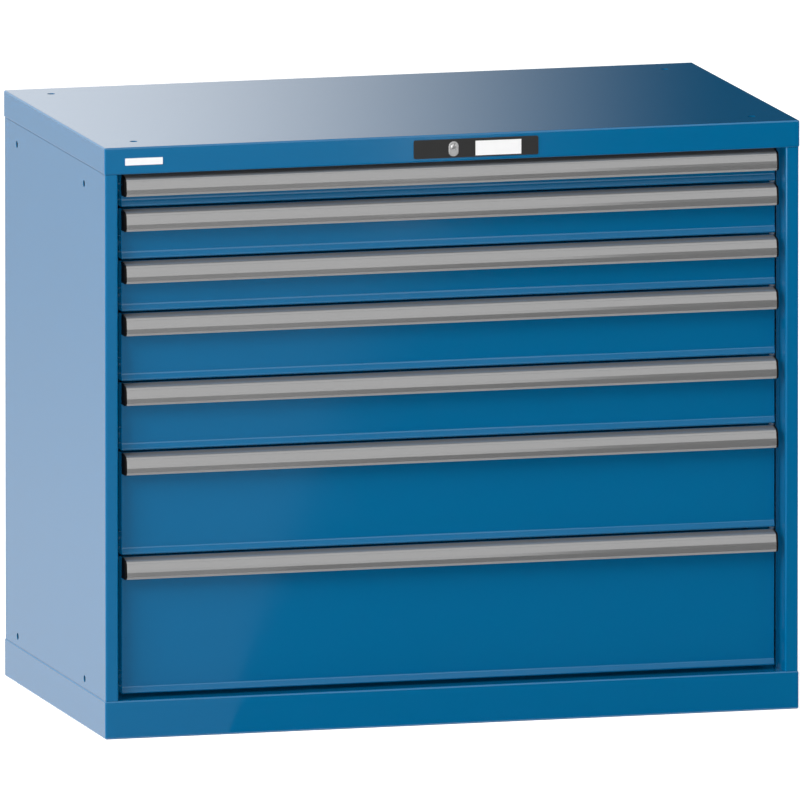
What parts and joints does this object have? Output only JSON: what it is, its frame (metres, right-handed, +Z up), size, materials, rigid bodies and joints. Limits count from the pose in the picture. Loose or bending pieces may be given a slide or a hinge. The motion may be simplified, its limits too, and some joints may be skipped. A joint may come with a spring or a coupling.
{
  "type": "modular drawer cabinet",
  "caption": "Free-standing steel cabinet with a stack of full-width drawers on rollers, strip handles, a central lock in the top fascia and a plinth.",
  "frame": {"origin": "on the floor under the middle of the cabinet's box", "axes": "+X along the width to the right as seen from the front, +Y from front to back, +Z up"},
  "size_m": [1.023, 0.574, 0.85],
  "materials": {
    "blue_paint": "satin powder coat",
    "grey_paint": "satin powder coat",
    "zinc": "zinc plated",
    "aluminium": "satin anodised",
    "black_plastic": "fine matte",
    "card": "plain card",
    "badge": "blank satin plate",
    "lock_metal": "nickel plated",
    "roller": "moulded nylon"
  },
  "bodies": {
    "root": {"top_cover": "blue_paint", "base_plinth": "blue_paint", "back_panel": "blue_paint", "left_side_panel": "blue_paint", "right_side_panel": "blue_paint", "left_uprights": "zinc", "right_uprights": "zinc", "left_cabinet_rails": "zinc", "right_cabinet_rails": "zinc", "lock_escutcheon": "black_plastic", "label_card": "card", "badge_plate": "badge", "lock_body": "lock_metal", "lock_guides": "black_plastic"},
    "drawer_1": {"drawer_1_tray": "grey_paint", "drawer_1_front": "blue_paint", "drawer_1_handle": "aluminium", "drawer_1_end_caps": "black_plastic"},
    "drawer_1_front_rollers": {"drawer_1_front_rollers": "roller"},
    "drawer_1_rear_rollers": {"drawer_1_rear_rollers": "roller"},
    "drawer_2": {"drawer_2_tray": "grey_paint", "drawer_2_front": "blue_paint", "drawer_2_handle": "aluminium", "drawer_2_end_caps": "black_plastic"},
    "drawer_2_front_rollers": {"drawer_2_front_rollers": "roller"},
    "drawer_2_rear_rollers": {"drawer_2_rear_rollers": "roller"},
    "drawer_3": {"drawer_3_tray": "grey_paint", "drawer_3_front": "blue_paint", "drawer_3_handle": "aluminium", "drawer_3_end_caps": "black_plastic"},
    "drawer_3_front_rollers": {"drawer_3_front_rollers": "roller"},
    "drawer_3_rear_rollers": {"drawer_3_rear_rollers": "roller"},
    "drawer_4": {"drawer_4_tray": "grey_paint", "drawer_4_front": "blue_paint", "drawer_4_handle": "aluminium", "drawer_4_end_caps": "black_plastic"},
    "drawer_4_front_rollers": {"drawer_4_front_rollers": "roller"},
    "drawer_4_rear_rollers": {"drawer_4_rear_rollers": "roller"},
    "drawer_5": {"drawer_5_tray": "grey_paint", "drawer_5_front": "blue_paint", "drawer_5_handle": "aluminium", "drawer_5_end_caps": "black_plastic"},
    "drawer_5_front_rollers": {"drawer_5_front_rollers": "roller"},
    "drawer_5_rear_rollers": {"drawer_5_rear_rollers": "roller"},
    "drawer_6": {"drawer_6_tray": "grey_paint", "drawer_6_front": "blue_paint", "drawer_6_handle": "aluminium", "drawer_6_end_caps": "black_plastic"},
    "drawer_6_front_rollers": {"drawer_6_front_rollers": "roller"},
    "drawer_6_rear_rollers": {"drawer_6_rear_rollers": "roller"},
    "drawer_7": {"drawer_7_tray": "grey_paint", "drawer_7_front": "blue_paint", "drawer_7_handle": "aluminium", "drawer_7_end_caps": "black_plastic"},
    "drawer_7_front_rollers": {"drawer_7_front_rollers": "roller"},
    "drawer_7_rear_rollers": {"drawer_7_rear_rollers": "roller"},
    "lock_core": {"lock_cylinder": "lock_metal", "lock_cam": "zinc"},
    "lock_link": {"lock_link": "zinc"},
    "lock_bar": {"lock_bar": "zinc"}
  },
  "joints": [
    {"name": "drawer_1_slide", "type": "slide", "parent": "root", "child": "drawer_1", "axis": [0, -1, 0], "range_m": [0, 0.42]},
    {"name": "drawer_1_front_rollers_turn", "type": "hinge", "parent": "root", "child": "drawer_1_front_rollers", "pos_m": [0, -0.226, 0.7798], "axis": [1, 0, 0], "range_deg": [0, 2407]},
    {"name": "drawer_1_rear_rollers_turn", "type": "hinge", "parent": "drawer_1", "child": "drawer_1_rear_rollers", "pos_m": [0, 0.212, 0.7798], "axis": [1, 0, 0], "range_deg": [0, 2407]},
    {"name": "drawer_2_slide", "type": "slide", "parent": "root", "child": "drawer_2", "axis": [0, -1, 0], "range_m": [0, 0.42]},
    {"name": "drawer_2_front_rollers_turn", "type": "hinge", "parent": "root", "child": "drawer_2_front_rollers", "pos_m": [0, -0.226, 0.7048], "axis": [1, 0, 0], "range_deg": [0, 2407]},
    {"name": "drawer_2_rear_rollers_turn", "type": "hinge", "parent": "drawer_2", "child": "drawer_2_rear_rollers", "pos_m": [0, 0.212, 0.7048], "axis": [1, 0, 0], "range_deg": [0, 2407]},
    {"name": "drawer_3_slide", "type": "slide", "parent": "root", "child": "drawer_3", "axis": [0, -1, 0], "range_m": [0, 0.42]},
    {"name": "drawer_3_front_rollers_turn", "type": "hinge", "parent": "root", "child": "drawer_3_front_rollers", "pos_m": [0, -0.226, 0.6298], "axis": [1, 0, 0], "range_deg": [0, 2407]},
    {"name": "drawer_3_rear_rollers_turn", "type": "hinge", "parent": "drawer_3", "child": "drawer_3_rear_rollers", "pos_m": [0, 0.212, 0.6298], "axis": [1, 0, 0], "range_deg": [0, 2407]},
    {"name": "drawer_4_slide", "type": "slide", "parent": "root", "child": "drawer_4", "axis": [0, -1, 0], "range_m": [0, 0.42]},
    {"name": "drawer_4_front_rollers_turn", "type": "hinge", "parent": "root", "child": "drawer_4_front_rollers", "pos_m": [0, -0.226, 0.5298], "axis": [1, 0, 0], "range_deg": [0, 2407]},
    {"name": "drawer_4_rear_rollers_turn", "type": "hinge", "parent": "drawer_4", "child": "drawer_4_rear_rollers", "pos_m": [0, 0.212, 0.5298], "axis": [1, 0, 0], "range_deg": [0, 2407]},
    {"name": "drawer_5_slide", "type": "slide", "parent": "root", "child": "drawer_5", "axis": [0, -1, 0], "range_m": [0, 0.42]},
    {"name": "drawer_5_front_rollers_turn", "type": "hinge", "parent": "root", "child": "drawer_5_front_rollers", "pos_m": [0, -0.226, 0.4298], "axis": [1, 0, 0], "range_deg": [0, 2407]},
    {"name": "drawer_5_rear_rollers_turn", "type": "hinge", "parent": "drawer_5", "child": "drawer_5_rear_rollers", "pos_m": [0, 0.212, 0.4298], "axis": [1, 0, 0], "range_deg": [0, 2407]},
    {"name": "drawer_6_slide", "type": "slide", "parent": "root", "child": "drawer_6", "axis": [0, -1, 0], "range_m": [0, 0.42]},
    {"name": "drawer_6_front_rollers_turn", "type": "hinge", "parent": "root", "child": "drawer_6_front_rollers", "pos_m": [0, -0.226, 0.2798], "axis": [1, 0, 0], "range_deg": [0, 2407]},
    {"name": "drawer_6_rear_rollers_turn", "type": "hinge", "parent": "drawer_6", "child": "drawer_6_rear_rollers", "pos_m": [0, 0.212, 0.2798], "axis": [1, 0, 0], "range_deg": [0, 2407]},
    {"name": "drawer_7_slide", "type": "slide", "parent": "root", "child": "drawer_7", "axis": [0, -1, 0], "range_m": [0, 0.42]},
    {"name": "drawer_7_front_rollers_turn", "type": "hinge", "parent": "root", "child": "drawer_7_front_rollers", "pos_m": [0, -0.226, 0.0798], "axis": [1, 0, 0], "range_deg": [0, 2407]},
    {"name": "drawer_7_rear_rollers_turn", "type": "hinge", "parent": "drawer_7", "child": "drawer_7_rear_rollers", "pos_m": [0, 0.212, 0.0798], "axis": [1, 0, 0], "range_deg": [0, 2407]},
    {"name": "lock_bar_slide", "type": "slide", "parent": "root", "child": "lock_bar", "axis": [0, 0, 1], "range_m": [0, 0.01131]},
    {"name": "lock_turn", "type": "hinge", "parent": "root", "child": "lock_core", "pos_m": [0.0005, -0.285, 0.8325], "axis": [0, -1, 0], "range_deg": [0, 90]},
    {"name": "lock_link_slide", "type": "slide", "parent": "root", "child": "lock_link", "axis": [1, 0, 0], "range_m": [0, 0.01132]}
  ],
  "couplings": [
    {"joint": "drawer_1_front_rollers_turn", "follows": "drawer_1_slide", "rad_per_m": 100},
    {"joint": "drawer_1_rear_rollers_turn", "follows": "drawer_1_slide", "rad_per_m": 100},
    {"joint": "drawer_2_front_rollers_turn", "follows": "drawer_2_slide", "rad_per_m": 100},
    {"joint": "drawer_2_rear_rollers_turn", "follows": "drawer_2_slide", "rad_per_m": 100},
    {"joint": "drawer_3_front_rollers_turn", "follows": "drawer_3_slide", "rad_per_m": 100},
    {"joint": "drawer_3_rear_rollers_turn", "follows": "drawer_3_slide", "rad_per_m": 100},
    {"joint": "drawer_4_front_rollers_turn", "follows": "drawer_4_slide", "rad_per_m": 100},
    {"joint": "drawer_4_rear_rollers_turn", "follows": "drawer_4_slide", "rad_per_m": 100},
    {"joint": "drawer_5_front_rollers_turn", "follows": "drawer_5_slide", "rad_per_m": 100},
    {"joint": "drawer_5_rear_rollers_turn", "follows": "drawer_5_slide", "rad_per_m": 100},
    {"joint": "drawer_6_front_rollers_turn", "follows": "drawer_6_slide", "rad_per_m": 100},
    {"joint": "drawer_6_rear_rollers_turn", "follows": "drawer_6_slide", "rad_per_m": 100},
    {"joint": "drawer_7_front_rollers_turn", "follows": "drawer_7_slide", "rad_per_m": 100},
    {"joint": "drawer_7_rear_rollers_turn", "follows": "drawer_7_slide", "rad_per_m": 100},
    {"joint": "lock_turn", "follows": "lock_bar_slide", "rad_per_m": 138.84},
    {"joint": "lock_link_slide", "follows": "lock_bar_slide", "ratio": 1}
  ]
}
